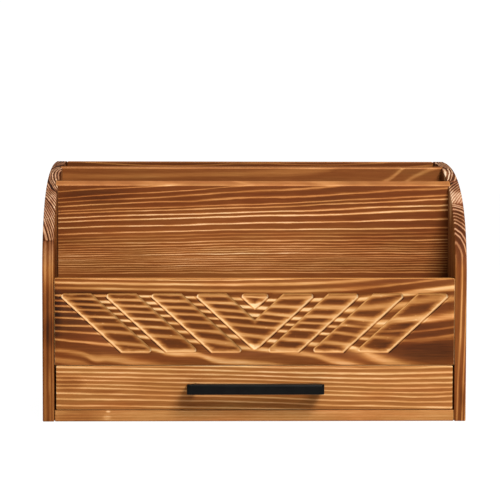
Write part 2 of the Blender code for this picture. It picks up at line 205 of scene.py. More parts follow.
# Ranges that the curves of a board's rings are drawn over, in mm
ALONG_LOW, ALONG_SPAN = -180, 360
HEIGHT_LOW, HEIGHT_SPAN = -60, 320


def ring_profile(rings, low, high):
    """How pale the wood is across the rings, as points from 0 to 1 between two heights.

    A ring is the height, width and brightness of its pale line. The line starts sharply from
    below and fades a little more slowly into the dark wood over it.
    """
    rings = sorted(rings)
    heights = [low] + [ring[0] for ring in rings] + [high]
    points = [(0, 0)]
    for (height, width, bright), last, ahead in zip(rings, heights, heights[2:]):
        below = min(width * 0.7, (height - last) * 0.45)
        above = min(width * 0.6, (ahead - height) * 0.35)
        done = min(width * 1.2, (ahead - height) * 0.5)
        for off, pale in (
            (-below, 0), (-min(width * 0.25, below * 0.5), bright), (min(width * 0.15, above * 0.5), bright),
            (above, 0.12 * bright), (done, 0),
        ):
            share = (height + off - low) / (high - low)
            if points[-1][0] + 0.0002 < share < 0.999:
                points.append((share, pale))
    return points + [(1, 0)]


def growth_rings(seed, low, high, pitch):
    """Rings of an unseen board, with uneven spacing and strength."""
    draw = random.Random(seed)
    rings, height = [], low + pitch * 0.4
    while height < high:
        rings.append((height, pitch * draw.uniform(0.22, 0.42), draw.uniform(0.55, 0.9)))
        height += pitch * draw.uniform(0.6, 1.5)
    return rings


def ring_height(tree, along, height, guides):
    """Height at which the ring through a place meets the left end of the board.

    guides are the courses of a few rings, from the lowest to the highest, as places along
    the board and heights. Rings between two guides share the room between them.
    """
    along_share = add(tree, "MapRange", (along, ALONG_LOW, ALONG_LOW + ALONG_SPAN))
    height_share = add(tree, "MULTIPLY_ADD", (height, 1 / HEIGHT_SPAN, -HEIGHT_LOW / HEIGHT_SPAN))
    courses = []
    for guide in guides:
        points = [((x - ALONG_LOW) / ALONG_SPAN, (z - HEIGHT_LOW) / HEIGHT_SPAN) for x, z in guide]
        course = add(tree, "FloatCurve", {"Value": along_share})
        courses.append(draw_curve(course, points, "AUTO"))
    total = guides[0][0][1]
    for index in range(len(guides) - 1):
        rise = guides[index + 1][0][1] - guides[index][0][1]
        climb = add(tree, "MapRange", (height_share, courses[index], courses[index + 1], 0, rise))
        total = add(tree, "ADD", (climb, total))
    return total


def facing(tree):
    """How far a face points along each axis, either way: 1 where it is square to it."""
    normal = add(tree, "NewGeometry", output="Normal")
    size = add(tree, "VectorMath ABSOLUTE", (normal,))
    return add(tree, "SeparateXYZ", (size,)).node.outputs


def aged(tree, layout, pale, base, strength, seed):
    """The tone of the dark wood and its pale lines, which come and go along the grain.

    The first axis of the layout lies along the grain. Gives the tone and the fibres.
    """
    patches = streaks(tree, layout, (48, 6, 6), seed + 3)
    reach = LINE_REACH * strength
    contrast = add(tree, "MULTIPLY_ADD", (patches, reach, reach))
    tone = add(tree, "MULTIPLY_ADD", (pale, contrast, base))
    fibre = streaks(tree, layout, (11, 0.3, 0.3), seed + 4, 3)
    bundles = streaks(tree, layout, (26, 1.1, 1.1), seed + 5)
    clouds = streaks(tree, layout, (80, 17, 17), seed + 6)
    return laid_over(tree, tone, (fibre, 0.14), (bundles, 0.18), (clouds, 0.2)), fibre


def torched_finish(tree, shader, layout, tone, fibre, edge, wear, seed, end_grain_with_painted_sheen=None, golden=None,
                   raw_and_painted_shade=None, ruddy=0):
    """Colour, roughness and raised grain of torched wood from its tone.

    Eased edges are rubbed paler by wear, here more and there less. ruddy makes more of the
    wood red and golden keeps it from that, raw_and_painted_shade is where it is raw, which on
    carved walls turned from the light is also painted shade, and in the end grain the pale
    parts are greyer, partly the end grain's own look and partly a painted sheen of the light
    from above.
    """
    rub = add(tree, "MULTIPLY_ADD", (streaks(tree, layout, (14, 14, 14), seed + 7), 1.2, 0.8))
    tone = laid_over(tree, tone, (add(tree, "MULTIPLY", (edge, rub)), wear))
    colour = draw_ramp(add(tree, "ValToRGB", (tone,)), TORCHED_STOPS)
    redness = streaks(tree, layout, (60, 10, 10), seed + 8, 1)
    red = add(tree, "MapRange", (redness, -0.1 - ruddy, 0.25 - ruddy, 0, 0.5))
    if golden:
        rest = add(tree, "MULTIPLY_ADD", (golden, -0.9, 1))
        red = add(tree, "MULTIPLY", (red, rest))
    tint = {0: red, 6: colour, 7: linear(RED_TINT)}
    colour = add(tree, "Mix", tint, 2, data_type="RGBA", blend_type="MULTIPLY")
    # Raw wood colour where the wood is bare; on carved walls that face away from the light this is also
    # painted shade.
    if raw_and_painted_shade:
        colour = add(tree, "Mix", {0: raw_and_painted_shade, 6: colour, 7: linear(RAW_WOOD)}, 2, data_type="RGBA")
    # End grain: its pale parts greyer, partly its own look and partly a painted sheen of the light from above
    # on faces that look up.
    if end_grain_with_painted_sheen:
        full = add(tree, "MapRange", (tone, 0.1, 0.9, 1.05, 0.76))
        fade = add(tree, "Mix", {0: end_grain_with_painted_sheen, 2: 1, 3: full})
        colour = add(tree, "HueSaturation", {"Color": colour, "Saturation": fade})
    relief = laid_over(tree, tone, (fibre, 0.5))
    fill(shader, {
        "Base Color": colour,
        "Roughness": add(tree, "MapRange", (tone, 0, 1, 0.68, 0.45)),
        "Normal": add(tree, "Bump", {"Height": relief, "Strength": 0.6, "Distance": 0.15 * MM}),
        "IOR": 1.4,
        "Specular IOR Level": 0.09,
    })


def torched_board(name, seed, guides, rings, far_rings=(), axes="XZY", tilt=0.5, face=FRONT_MM, base=0.3,
                  strength=1, wobble=1.1, tone_patches_and_painted_light=(), wear=0, top=0, ruddy=0, carved=False):
    """A torched board with its own grain.

    rings are the pale lines at the left end and far_rings at the right end. axes are the
    letters of its length, its height across the grain and its thickness. tilt is how far the
    rings climb in each mm behind the face, and wobble how far they sway. strength is how
    much paler they are than the base tone, and top the tone of the faces that look up.
    """
    material, tree, shader = new_material(name)
    place = millimetres(tree)
    split = add(tree, "SeparateXYZ", (place,)).node.outputs
    along, height, depth = (split["XYZ".index(axis)] for axis in axes)
    behind = add(tree, "SUBTRACT", (depth, face))
    lifted = laid_over(tree, height, (behind, -tilt))
    layout = add(tree, "CombineXYZ", (along, lifted, depth))

    # Long swells, then the finer unevenness of each line
    ring = ring_height(tree, along, lifted, guides)
    for size, reach, detail in (((55, 9, 9), wobble, 1), ((14, 1.6, 4), 0.75, 2)):
        ring = laid_over(tree, ring, (streaks(tree, layout, size, seed + reach, detail), reach))
    low, high = guides[0][0][1], guides[-1][0][1]
    ring_share = add(tree, "MapRange", (ring, low, high))
    farness = add(tree, "MapRange", (along, *PANEL_SWAP))

    def lines(broader):
        """The pale lines, each this many times as broad."""
        ends = []
        for lines_there in (rings, far_rings):
            curve = add(tree, "FloatCurve", {"Value": ring_share})
            wide = [(middle, width * broader, bright) for middle, width, bright in lines_there]
            ends.append(draw_curve(curve, ring_profile(wide, low, high), "VECTOR"))
        return add(tree, "Mix", {0: farness, 2: ends[0], 3: ends[1]}) if far_rings else ends[0]

    pale = lines(1)
    golden = raw_and_painted_shade = None
    if carved:
        marks = carving_marks(tree, split, layout)
        golden, raw_and_painted_shade = marks["zone"], marks["raw_and_painted_shade"]
        soft = add(tree, "MULTIPLY", (lines(1.6), 0.95))
        for mark, broad in (("zone", lines(1.45)), ("under", soft)):
            pale = add(tree, "Mix", {0: marks[mark], 2: pale, 3: broad})
    tone, fibre = aged(tree, layout, pale, base, strength, seed)
    tone = add_tone_patches_and_painted_light(tree, place, face, tone, tone_patches_and_painted_light)
    if carved:
        tone = carved_tone(tree, marks, tone)
    across, deep, up = facing(tree)
    if top:
        looks_up = add(tree, "MapRange", (up, 0.25, 0.75, 0, 0.7))
        brushed = add(tree, "MULTIPLY_ADD", (fibre, 0.5, top))
        tone = add(tree, "Mix", {0: looks_up, 2: tone, 3: brushed})
    most = add(tree, "MAXIMUM", (add(tree, "MAXIMUM", (across, deep)), up))
    edge = add(tree, "MapRange", (most, 0.98, 0.86))
    torched_finish(tree, shader, layout, tone, fibre, edge, wear, seed, None, golden, raw_and_painted_shade, ruddy)
    return material


# Carved fields: a small triangle, a V and slanting fields at one pitch, sunk into the front
# panel with a coved wall. Their place is given by q, the distance from the middle line,
# measured along the slant up to the carving's top line.
CARVE_TOP = PANEL_HIGH.z - 12.4
CARVE_BOTTOM = PANEL_LOW.z + 10.2
CARVE_END = 2.1
CARVE_VEE_LIFT = 1.2
TRIANGLE_HALF = 14.8
CARVE_RIDGE = 8.7
CARVE_PER_SIDE = 3
CARVE_PITCH = (BOARD_HALF - CARVE_END - TRIANGLE_HALF) / (CARVE_PER_SIDE + 1)
CARVE_FIELD = CARVE_PITCH - CARVE_RIDGE
VEE_HALF = TRIANGLE_HALF + CARVE_PITCH
CARVE_SLANT = VEE_HALF / (CARVE_TOP - CARVE_BOTTOM - CARVE_VEE_LIFT)
SQUARE_SHARE = 1 / sqrt(1 + CARVE_SLANT**2)
CARVE_DEPTH = 1.8
COVE_WIDTH = 2.1
COVE_STEPS = 6
ARRIS_WIDTH = 0.28
ARRIS_DEPTH = 0.3
BLUNT, CRISP = 2.5, 0.8


def carving_marks(tree, split, layout):
    """Where the carving is, each as 0 to 1.

    zone is the whole carved part of the board, ridge what stands in it, and under the strip
    below it. floor is the sunk part, and chips are small tears in that. wall is the coved
    wall, and painted_light_side what lies by the outer and lower sides, whose walls face up
    and get a painted highlight. raw_and_painted_shade is the raw wood on the other walls,
    which face away from the light, so that it is also painted shade. outer is a glow inwards
    from the outer and lower walls, fuller there partly as painted light, tip its part by the
    middle line, and inner the glow from the other walls. char is the arris past the outer walls.
    """
    from_middle = add(tree, "ABSOLUTE", (split["X"],))
    under_top = add(tree, "SUBTRACT", (CARVE_TOP, split["Z"]))
    over_bottom = add(tree, "SUBTRACT", (split["Z"], CARVE_BOTTOM))
    q = laid_over(tree, from_middle, (under_top, CARVE_SLANT))
    past = add(tree, "SUBTRACT", (q, TRIANGLE_HALF))
    before_end = add(tree, "SUBTRACT", (BOARD_HALF + 0.2, q))
    turn = add(tree, "WRAP", (past, CARVE_PITCH, 0))
    sunk = add(tree, "SUBTRACT", (split["Y"], FRONT_MM))
    to_outer = add(tree, "MULTIPLY_ADD", (turn, -SQUARE_SHARE, CARVE_PITCH * SQUARE_SHARE))
    to_inner = add(tree, "MULTIPLY_ADD", (turn, SQUARE_SHARE, -CARVE_RIDGE * SQUARE_SHARE))
    floor = add(tree, "MapRange", (sunk, 0.3, 1.2))
    uncarved = add(tree, "MapRange", (sunk, 0.12, 0.02))
    drift = streaks(tree, layout, (9, 3, 3), 31)

    def glow(walls):
        """A glow on the floor that fades inwards from walls, each with its reach in mm."""
        total = 0.0
        for gap, reach in walls:
            gap = laid_over(tree, gap, (drift, reach * 0.9))
            band = add(tree, "MapRange", (gap, reach, 0.6))
            total = add(tree, "MAXIMUM", (band, total))
        total = add(tree, "POWER", (total, 1.4))
        return add(tree, "MULTIPLY", (total, floor))

    # The glow by the outer and lower walls reaches further, partly as painted light.
    outer = glow(((to_outer, 5.6), (over_bottom, 4.6)))
    tip = add(tree, "MapRange", (from_middle, 5, 1))
    wall_top = add(tree, "MapRange", (sunk, 0.1, 0.35))
    wall_foot = add(tree, "MapRange", (sunk, 1.7, 1.35))
    wall = add(tree, "MULTIPLY", (wall_top, wall_foot))
    # Walls by the outer and lower sides face up to the light and get a painted highlight; the other walls get
    # painted shade in a duller raw wood colour.
    nearest = add(tree, "MINIMUM", (to_outer, over_bottom))
    painted_light_side = add(tree, "MapRange", (nearest, 4, 2))
    painted_shade_side = add(tree, "MULTIPLY_ADD", (painted_light_side, -0.55, 0.55))
    chips = add(tree, "MapRange", (streaks(tree, layout, (3.2, 0.9, 0.9), 33), 0.19, 0.27, 0, 0.3))
    char = add(tree, "MULTIPLY", (add(tree, "MapRange", (turn, 1.6, 0.5)), uncarved))
    zone = 1.0
    for gap in (over_bottom, under_top, past, before_end):
        inside = add(tree, "MapRange", (gap, -0.5, 0.5))
        char = add(tree, "MULTIPLY", (char, inside))
        zone = add(tree, "MULTIPLY", (zone, inside))
    for gap in (under_top, from_middle):
        char = add(tree, "MULTIPLY", (char, add(tree, "MapRange", (gap, 2, 5))))
    marks = {"zone": zone, "floor": floor, "wall": wall, "painted_light_side": painted_light_side, "outer": outer, "char": char}
    marks["inner"] = glow(((to_inner, 4.4), (under_top, 3.6)))
    marks["under"] = add(tree, "MapRange", (over_bottom, -0.4, -1.6))
    for mark, whole, part in (
        ("ridge", zone, uncarved), ("chips", chips, floor), ("raw_and_painted_shade", wall, painted_shade_side), ("tip", tip, outer),
    ):
        marks[mark] = add(tree, "MULTIPLY", (whole, part))
    return marks


def carved_tone(tree, marks, tone):
    """The tone with the carving's own: the flame caught the middles of the floors and the
    sharp edges, and left the walls pale with a golden bloom beside them. The bloom is fuller
    by the outer and lower walls, and those walls are paler still, as painted light where they
    face up to the light."""
    keener = add(tree, "MULTIPLY_ADD", (tone, 1.2, -0.08))
    keener = add(tree, "MINIMUM", (keener, 0.96))
    tone = add(tree, "Mix", {0: marks["ridge"], 2: tone, 3: keener})
    tone = laid_over(tree, tone, (marks["floor"], -0.07), (marks["chips"], 1))
    # Painted light: the bloom by the outer and lower walls is fuller than the one by the other walls.
    for glow, full in (("outer", 0.9), ("inner", 0.74)):
        missing = add(tree, "SUBTRACT", (full, tone))
        missing = add(tree, "MAXIMUM", (missing, 0))
        tone = laid_over(tree, tone, (marks[glow], missing))
    tone = laid_over(tree, tone, (marks["tip"], 0.3))
    # Painted highlight: the walls by the outer and lower sides are made paler still.
    painted_light_side = add(tree, "MapRange", (marks["painted_light_side"], 0, 1, 1, 1.08))
    tone = add(tree, "Mix", {0: marks["wall"], 2: tone, 3: painted_light_side})
    return laid_over(tree, tone, (marks["char"], -0.42))


def side_panel_wood(name, strips, seams, hatch, base, tone_patches_and_painted_light, seed, drift=0):
    """The upright wood of a side panel, glued up from strips.

    Seen from above, a strip's rings are arcs about its heart. A strip is the depth where it
    starts, over what width, its heart as X and depth, and its pale lines as distance from the
    heart, width and brightness. seams are the depths of glued joints, and hatch is where the
    saw marked the end grain: from and to depth, slope and strength. drift leans the lines
    below the curve.
    """
    material, tree, shader = new_material(name)
    place = millimetres(tree)
    x, y, z = add(tree, "SeparateXYZ", (place,)).node.outputs
    depth = add(tree, "SUBTRACT", (y, FRONT_MM))
    layout = add(tree, "CombineXYZ", (z, x, depth))
    under_curve = add(tree, "SUBTRACT", (CURVE_FOOT, z))
    under_curve = add(tree, "MAXIMUM", (under_curve, 0))
    shifted = laid_over(tree, x, (under_curve, drift))
    straight = add(tree, "MAXIMUM", (depth, 2))
    seen = add(tree, "CombineXYZ", (shifted, straight))
    waves = streaks(tree, layout, (70, 6, 6), seed + 1, 1)
    fine_waves = streaks(tree, layout, (30, 1.5, 1.5), seed + 2)
    pale = None
    for start, turn, heart, rings in strips:
        reach = add(tree, "VectorMath DISTANCE", (seen, (*heart, 0)), "Value")
        reach = laid_over(tree, reach, (waves, 0.9), (fine_waves, 0.35))
        low, high = rings[0][0] - 4, rings[-1][0] + 4
        strip = add(tree, "FloatCurve", {"Value": add(tree, "MapRange", (reach, low, high))})
        strip = draw_curve(strip, ring_profile(rings, low, high), "VECTOR")
        if pale:
            past = add(tree, "MapRange", (depth, start - turn, start + turn))
            strip = add(tree, "Mix", {0: past, 2: pale, 3: strip})
        pale = strip
    across, deep, up = facing(tree)
    # The curved top faces up and is end grain: darker with stronger lines, and greyer as a painted sheen.
    end_grain_with_painted_sheen = add(tree, "MapRange", (up, 0.08, 0.4))
    stronger = add(tree, "MapRange", (end_grain_with_painted_sheen, 0, 1, 1, 1.55))
    pale = add(tree, "MULTIPLY", (pale, stronger))
    tone, fibre = aged(tree, layout, pale, base, 0.8, seed)
    tone = laid_over(tree, tone, (end_grain_with_painted_sheen, -0.23))
    for near, far, slope, strength in hatch:
        line = laid_over(tree, depth, (x, slope), (fine_waves, 1.6))
        wave = add(tree, "MULTIPLY", (line, 2 * pi / SAW_PITCH))
        wave = add(tree, "SINE", (wave,))
        for value, start, full in ((depth, near - 2, near + 2), (depth, far + 2, far - 2), (end_grain_with_painted_sheen, 0, 1)):
            mask = add(tree, "MapRange", (value, start, full))
            wave = add(tree, "MULTIPLY", (wave, mask))
        tone = laid_over(tree, tone, (wave, strength))
    for seam in seams:
        off = add(tree, "SUBTRACT", (depth, seam))
        off = add(tree, "ABSOLUTE", (off,))
        glue = add(tree, "MapRange", (off, 0.35, 0.1, 0, -0.12))
        tone = laid_over(tree, tone, (glue, 1))
    tone = add_tone_patches_and_painted_light(tree, place, FRONT_MM, tone, tone_patches_and_painted_light)
    edge = add(tree, "SUBTRACT", (across, 0.5))
    edge = add(tree, "ABSOLUTE", (edge,))
    edge = add(tree, "MapRange", (edge, 0.46, 0.25))
    torched_finish(tree, shader, layout, tone, fibre, edge, 0.12, seed, end_grain_with_painted_sheen)
    return material


# Courses of a few rings over each board that shows from the front, from the lowest up
PANEL_GUIDES = (
    ((-165, 44), (-100, 32), (0, 18), (165, 0)),
    ((-165, 59.4), (-150, 58), (-141, 56.4), (-132, 52), (-122, 52.4), (-97, 48.4), (-60, 42), (0, 33),
     (165, 16)),
    ((-165, 68.2), (-120, 63.8), (-84, 60), (-72, 56.6), (-46, 55.2), (-34, 50.6), (-2, 48), (60, 38),
     (165, 24)),
    ((-165, 75), (-120, 72.4), (-99, 70.9), (-54, 67), (-18, 62.4), (25, 58.2), (50, 55), (63, 50.4),
     (75, 48), (165, 28)),
    ((-165, 79.4), (-99, 76.8), (-58, 73.8), (-18, 70.4), (15, 66.5), (49, 63.6), (70, 61.6),
     (82, 60), (94, 55.2), (107, 50.4), (116, 48), (165, 32)),
    ((-165, 85.3), (-105, 82.6), (-65, 80.3), (-26, 78), (23, 74), (58, 71.8), (91, 68), (126, 67.3),
     (165, 71.5)),
    ((-165, 95.7), (-117, 93.8), (-77, 92.2), (-40, 90.9), (0, 87.8), (34, 85), (69, 83.8), (106, 82.1),
     (120, 84), (165, 90)),
    ((-165, 105), (-90, 104.4), (-52, 103.2), (-15, 102.3), (16, 101.3), (51, 101.5), (89, 102.6),
     (120, 106.5), (165, 111.5)),
    ((-165, 115.2), (-80, 113.8), (-20, 113.3), (0, 113.6), (55, 114.7), (78, 116.1), (100, 118.5),
     (165, 126)),
    ((-165, 127), (0, 126), (165, 138)),
)
PANEL_RINGS = (
    (51.6, 4.2, 0.5), (59.5, 3.4, 0.66), (68.3, 1.9, 0.8), (75, 1.6, 0.76), (80, 1.8, 0.86),
    (86.2, 1.6, 0.9), (91.5, 1.5, 0.86), (96, 1.6, 0.9), (100.3, 1.6, 0.95), (104.6, 1.4, 0.9),
    (110.6, 2.3, 0.62), (115.3, 2.5, 0.66), (118.8, 1, 0.7),
)
PANEL_FAR_RINGS = (
    (62, 2.5, 0.6), (68.2, 3, 0.7), (74.4, 2.6, 0.7), (79, 4, 0.82), (85.6, 1.2, 0.6), (89.1, 1, 0.55),
    (94.6, 3.6, 0.95), (100.8, 1.8, 0.7), (104.9, 2.6, 0.95), (110.4, 1.4, 0.5), (115.2, 1.5, 0.5),
)
DIVIDER_GUIDES = (
    ((-165, 112), (0, 112), (165, 112)),
    ((-165, 152.3), (-80, 154.6), (0, 156.7), (78, 157.1), (165, 158)),
    ((-165, 162.3), (-80, 165.2), (0, 167.4), (78, 169.3), (133, 172), (165, 173.2)),
    ((-165, 172.1), (-118, 174.4), (-80, 175.4), (0, 178.2), (78, 181.8), (133, 184.5), (165, 186)),
    ((-165, 175.6), (-118, 178.2), (-80, 179.6), (0, 183.3), (78, 187.1), (133, 190.2), (165, 192)),
    ((-165, 182), (-120, 185.5), (-80, 187.1), (-19, 192), (78, 200), (165, 209)),
    ((-165, 196), (0, 206), (165, 224)),
)
DIVIDER_RINGS = (
    (119, 0.9, 0.66), (121, 0.7, 0.7), (122.6, 0.8, 0.64), (124.6, 0.7, 0.76), (126.5, 0.9, 0.66),
    (128.4, 0.6, 0.72), (130, 0.8, 0.78), (131.6, 0.7, 0.64), (133.5, 0.9, 0.8), (135.3, 0.7, 0.72),
    (137, 0.7, 0.78), (138.9, 0.7, 0.74), (141.1, 0.8, 0.64), (143.2, 0.8, 0.78), (146.1, 0.9, 0.52),
    (148.8, 0.9, 0.38), (152, 1.1, 0.8), (157.1, 1.15, 0.94), (162.4, 1.3, 1.0), (165.6, 1.2, 0.95),
    (169.2, 1.05, 0.8), (171.6, 0.95, 0.7), (175.4, 1.05, 0.74), (178.8, 1, 0.64), (182.4, 1, 0.7),
    (188.2, 1.2, 0.64),
)
MIDDLE_GUIDES = (
    ((-165, 44), (0, 48), (165, 60)),
    ((-165, 176), (-40, 178), (40, 180), (90, 186), (118, 196), (140, 213), (165, 224)),
    ((-165, 196), (-40, 199), (40, 200), (66, 203), (80, 208.5), (95, 209.5), (112, 218), (165, 246)),
    ((-165, 216), (0, 217), (165, 262)),
)
MIDDLE_TOP_RINGS = [(164, 3, 0.7), (176.5, 3.4, 0.85), (200, 6, 0.55), (209, 2, 0.4)]
DRAWER_GUIDES = (
    ((-165, -6), (0, -7), (165, -12)),
    ((-165, 10.3), (0, 8), (165, 3)),
    ((-165, 19.2), (-110, 18.3), (-40, 16.9), (0, 16), (60, 13.4), (111, 12.3), (165, 11.4)),
    ((-165, 27.9), (-110, 27.2), (-80, 26), (0, 24.2), (60, 22.1), (111, 20.9), (133, 20.1), (165, 20.9)),
    ((-165, 37.8), (-110, 36.8), (-80, 36), (0, 34.6), (60, 32.5), (111, 31.2), (165, 31.9)),
    ((-165, 45.1), (-110, 44.5), (-80, 43.6), (-40, 42.6), (0, 41.4), (60, 40.2), (111, 39.8), (165, 40.4)),
    ((-165, 49), (-80, 46.6), (0, 45.3), (60, 44.5), (165, 45)),
    ((-165, 57), (165, 55)),
)
DRAWER_RINGS = (
    (5, 1.4, 0.7), (9.4, 1.2, 0.7), (13.4, 1.5, 0.86), (19.2, 1.7, 0.9), (23.6, 1.5, 0.84),
    (28, 1.5, 0.86), (31.1, 1.2, 0.8), (34.7, 1.3, 0.84), (38, 1.5, 0.88), (41.5, 1.5, 0.95),
    (45.1, 1.7, 1.0), (48.9, 1.4, 0.9), (50.8, 0.8, 0.8),
)


def gentle_guides(low, high, seed):
    """Courses of an unseen board's rings: nearly straight, with a slow rise and fall."""
    draw = random.Random(seed)
    guides = []
    for step in range(4):
        base = low + (high - low) * step / 3
        sway = (high - low) * 0.02
        guides.append([(x, base + draw.uniform(-sway, sway)) for x in (-165, -80, 0, 80, 165)])
    return guides


def give(material, *names):
    """Puts one material on solids that keep their own shape."""
    for name in names:
        piece = nodes[name]
        if not piece.material_slots:
            piece.data.materials.append(material)
        for holder in piece.material_slots:
            holder.link = "OBJECT"
            holder.material = material


def plain_wood(name, pale, dark, pore, seed):
    """A plain sanded wood, its grain along X: fine darker pores and a soft figure."""
    material, tree, shader = new_material(name)
    place = millimetres(tree)
    tone = 0.5
    for size, detail in ((pore, 2), ((60, 5, 5), 2), ((120, 22, 22), 1)):
        tone = laid_over(tree, tone, (streaks(tree, place, size, seed + detail, detail), 0.5))
    fill(shader, {
        "Base Color": draw_ramp(add(tree, "ValToRGB", (tone,)), ((0.2, dark), (0.8, pale))),
        "Normal": add(tree, "Bump", {"Height": tone, "Strength": 0.4, "Distance": 0.06 * MM}),
        "Roughness": 0.62,
        "IOR": 1.45,
        "Specular IOR Level": 0.3,
    })
    return material


def mesh_of(name, shape):
    """A mesh of an edited shape, which is then let go."""
    mesh = bpy.data.meshes.new(name)
    shape.to_mesh(mesh)
    shape.free()
    return mesh


def skinned(name, rings):
    """A closed mesh over rings of points with equal counts, capped at both ends, normals out."""
    count = len(rings[0])
    shape = bmesh.new()
    rows = [[shape.verts.new(point) for point in ring] for ring in rings]
    shape.faces.new(rows[0])
    shape.faces.new(rows[-1])
    for near, far in zip(rows, rows[1:]):
        for index in range(count):
            beside = (index + 1) % count
            shape.faces.new((near[index], near[beside], far[beside], far[index]))
    bmesh.ops.recalc_face_normals(shape, faces=shape.faces)
    return mesh_of(name, shape)


def dressed(name, mesh, body, finish, stands_for):
    """Puts a finished mesh in the scene in place of its solids, its edges shaded by angle."""
    mesh.shade_smooth()
    mesh.set_sharp_from_angle(angle=radians(38))
    mesh.materials.clear()
    mesh.materials.append(finish)
    piece = new_object(name, mesh)
    link(piece)
    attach(piece, body)
    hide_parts(*stands_for)


def neighbours(corners):
    """Each corner of an outline, between the one before it and the one after."""
    corners = [Vector(corner) for corner in corners]
    return zip(corners[-1:] + corners[:-1], corners, corners[1:] + corners[:1])


def rounded(corners, radii, steps):
    """The corners of an outline with each one rounded to its radius."""
    outline = []
    for (last, corner, ahead), radius in zip(neighbours(corners), radii):
        to_last, to_next = (last - corner).normalized(), (ahead - corner).normalized()
        half_angle = acos(max(-1, min(1, to_last.dot(to_next)))) / 2
        middle = corner + (to_last + to_next).normalized() * radius / sin(half_angle)
        start = corner + to_last * radius / tan(half_angle) - middle
        end = corner + to_next * radius / tan(half_angle) - middle
        sweep = atan2(start.cross(end), start.dot(end))
        for step in range(steps + 1):
            outline.append(middle + Matrix.Rotation(sweep * step / steps, 2) @ start)
    return outline


def drawn_in(corners, radii, distance):
    """An outline's corners and radii moved inwards. The corners run clockwise or the other way."""
    area = sum(corner.cross(ahead) for last, corner, ahead in neighbours(corners))
    way = 1 if area > 0 else -1
    moved, moved_radii = [], []
    for (last, corner, ahead), radius in zip(neighbours(corners), radii):
        before, after = (corner - last).normalized(), (ahead - corner).normalized()
        inner_before = Vector((-before.y, before.x)) * way
        inner_after = Vector((-after.y, after.x)) * way
        moved.append(corner + (inner_before + inner_after) * distance / (1 + inner_before.dot(inner_after)))
        hollow = before.cross(after) * way < 0
        moved_radii.append(max(radius + distance if hollow else radius - distance, 0.02))
    return moved, moved_radii


# How the router's round-nosed cutter leaves a field: distance in from its outline and depth
CUT_PROFILE = [(-ARRIS_WIDTH, -2.0), (-ARRIS_WIDTH, 0.0), (-0.1, 0.1), (0.0, ARRIS_DEPTH)]
for step in range(1, COVE_STEPS + 1):
    turn = pi / 2 * step / COVE_STEPS
    CUT_PROFILE.append((COVE_WIDTH * (1 - cos(turn)), ARRIS_DEPTH + (CARVE_DEPTH - ARRIS_DEPTH) * sin(turn)))


def field_cutter(name, *shapes):
    """Closed cutters for carved fields, from their corners and radii."""
    shape = bmesh.new()
    for corners, radii in shapes:
        rings = []
        for inset, depth in CUT_PROFILE:
            outline = rounded(*drawn_in(corners, radii, inset), 6)
            rings.append([Vector((x, FRONT_MM + depth, z)) * MM for x, z in outline])
        shape.from_mesh(skinned(name, rings))
    bmesh.ops.triangulate(shape, faces=[face for face in shape.faces if len(face.verts) > 4])
    return new_object(name, mesh_of(name, shape))


def eased_block(name, low, high, ease, steps):
    """A straight board between two corners, its edges eased. All in metres."""
    shape = bmesh.new()
    bmesh.ops.create_cube(shape, size=1)
    middle, size = (low + high) / 2, high - low
    for point in shape.verts:
        point.co = Vector(middle[axis] + point.co[axis] * size[axis] for axis in range(3))
    bmesh.ops.bevel(shape, geom=shape.edges, offset=ease, segments=steps, profile=0.5, affect="EDGES")
    return new_object(name, mesh_of(name, shape))


def new_tree(name, inputs):
    """A Geometry Nodes tree with named inputs, and the outputs that give these."""
    tree = bpy.data.node_groups.new(name, "GeometryNodeTree")
    tree.interface.new_socket("Geometry", in_out="INPUT", socket_type="NodeSocketGeometry")
    for label, kind in inputs.items():
        tree.interface.new_socket(label, in_out="INPUT", socket_type="NodeSocket" + kind)
    tree.interface.new_socket("Geometry", in_out="OUTPUT", socket_type="NodeSocketGeometry")
    return tree, tree.nodes.new("NodeGroupInput").outputs


def end_tree(tree, shape, finish):
    """Ends a tree: its copies are made real and get their material."""
    shape = add(tree, "RealizeInstances", (shape,))
    shape = add(tree, "SetMaterial", {0: shape, "Material": finish})
    fill(tree.nodes.new("NodeGroupOutput"), (shape,))


def worked_out(piece):
    """The mesh of a piece with its modifiers worked out."""
    return bpy.data.meshes.new_from_object(piece.evaluated_get(bpy.context.evaluated_depsgraph_get()))


def grown(base, tree, values):
    """The mesh that a tree makes of a base object with these input values."""
    link(base)
    modifier = base.modifiers.new(tree.name, "NODES")
    modifier.node_group = tree
    for label, value in values.items():
        modifier[tree.interface.items_tree[label].identifier] = value
    mesh = worked_out(base)
    base.modifiers.remove(modifier)
    scene.collection.objects.unlink(base)
    return mesh


# Carved fields: one slanting field repeated at a pitch and mirrored, with the V and the
# triangle in the middle, all taken out of the board at once
tree, asked = new_tree("carved_fields", {
    "Field": "Object", "Centre": "Object", "Pitch": "Float", "Fields Per Side": "Int", "Finish": "Material",
})
field_shape = add(tree, "ObjectInfo", (asked["Field"],), "Geometry")
centre_shape = add(tree, "ObjectInfo", (asked["Centre"],), "Geometry")
stride = add(tree, "CombineXYZ", (asked["Pitch"],))
row = add(tree, "MeshLine", {"Count": asked["Fields Per Side"], "Offset": stride}, "Mesh")
fields = add(tree, "InstanceOnPoints", {"Points": row, "Instance": field_shape})
fields = add(tree, "RealizeInstances", (fields,))
mirrored = add(tree, "Transform", {"Geometry": fields, "Scale": (-1, 1, 1)})
mirrored = add(tree, "FlipFaces", (mirrored,))
cutters = add(tree, "JoinGeometry", ([fields, mirrored, centre_shape],))
carved = add(tree, "MeshBoolean DIFFERENCE", (asked["Geometry"], cutters), "Mesh", solver="EXACT")
end_tree(tree, carved, asked["Finish"])

